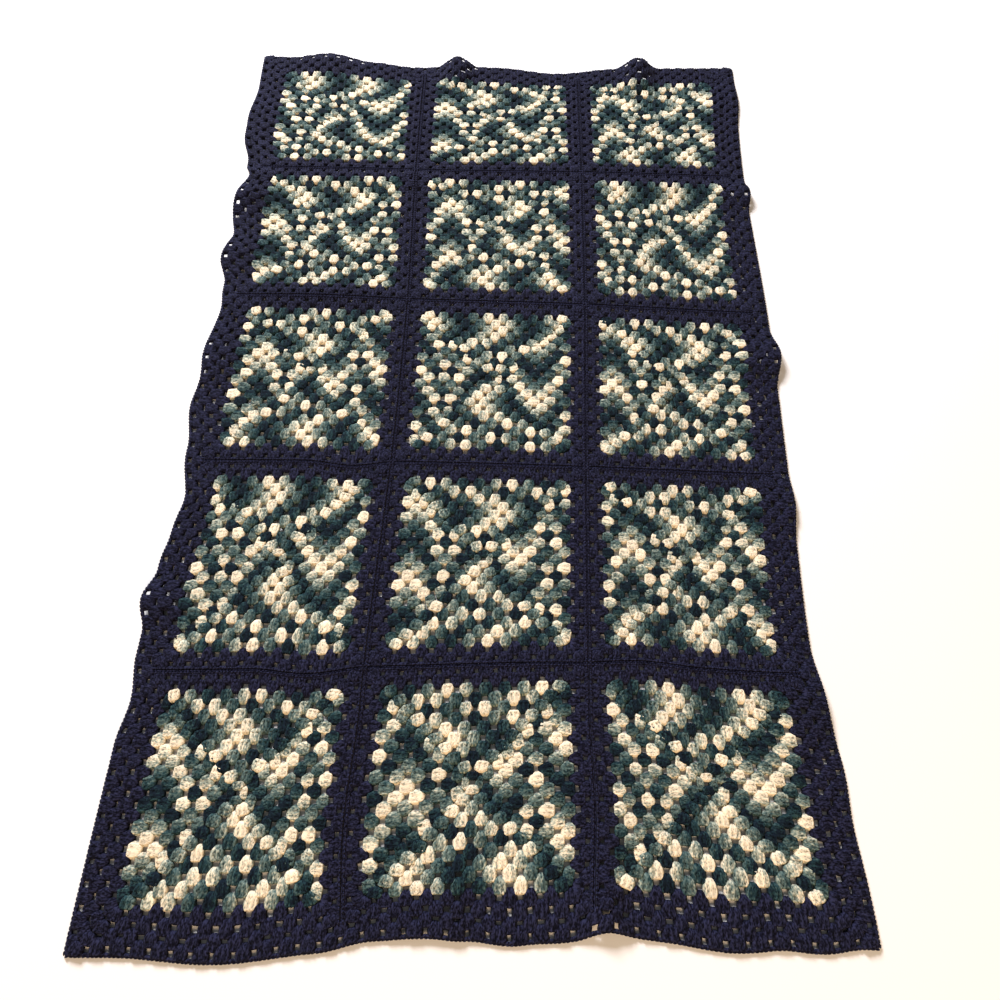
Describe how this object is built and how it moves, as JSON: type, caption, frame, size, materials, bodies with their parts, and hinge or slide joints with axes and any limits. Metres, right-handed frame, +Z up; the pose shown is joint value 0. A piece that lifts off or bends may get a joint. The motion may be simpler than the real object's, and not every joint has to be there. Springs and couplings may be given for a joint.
{
  "type": "granny square blanket",
  "caption": "Crocheted granny square blanket in cream, grey-green and teal variegated yarn with navy edging, lying flat with a wavy rim.",
  "frame": {"origin": "middle of the underside, on the floor that the blanket lies on", "axes": "+Y along the blanket's length towards its top edge, +X to the right, +Z up through the cloth"},
  "size_m": [1.0704, 1.7352, 0.0282],
  "materials": {
    "variegated_yarn": "crocheted acrylic yarn, matt",
    "navy_yarn": "crocheted acrylic yarn, matt"
  },
  "bodies": {
    "root": {"square_r1_c1": "variegated_yarn", "square_r1_c2": "variegated_yarn", "square_r1_c3": "variegated_yarn", "square_r2_c1": "variegated_yarn", "square_r2_c2": "variegated_yarn", "square_r2_c3": "variegated_yarn", "square_r3_c1": "variegated_yarn", "square_r3_c2": "variegated_yarn", "square_r3_c3": "variegated_yarn", "square_r4_c1": "variegated_yarn", "square_r4_c2": "variegated_yarn", "square_r4_c3": "variegated_yarn", "square_r5_c1": "variegated_yarn", "square_r5_c2": "variegated_yarn", "square_r5_c3": "variegated_yarn", "border_top": "navy_yarn", "border_bottom": "navy_yarn", "border_left": "navy_yarn", "border_right": "navy_yarn"}
  },
  "joints": []
}
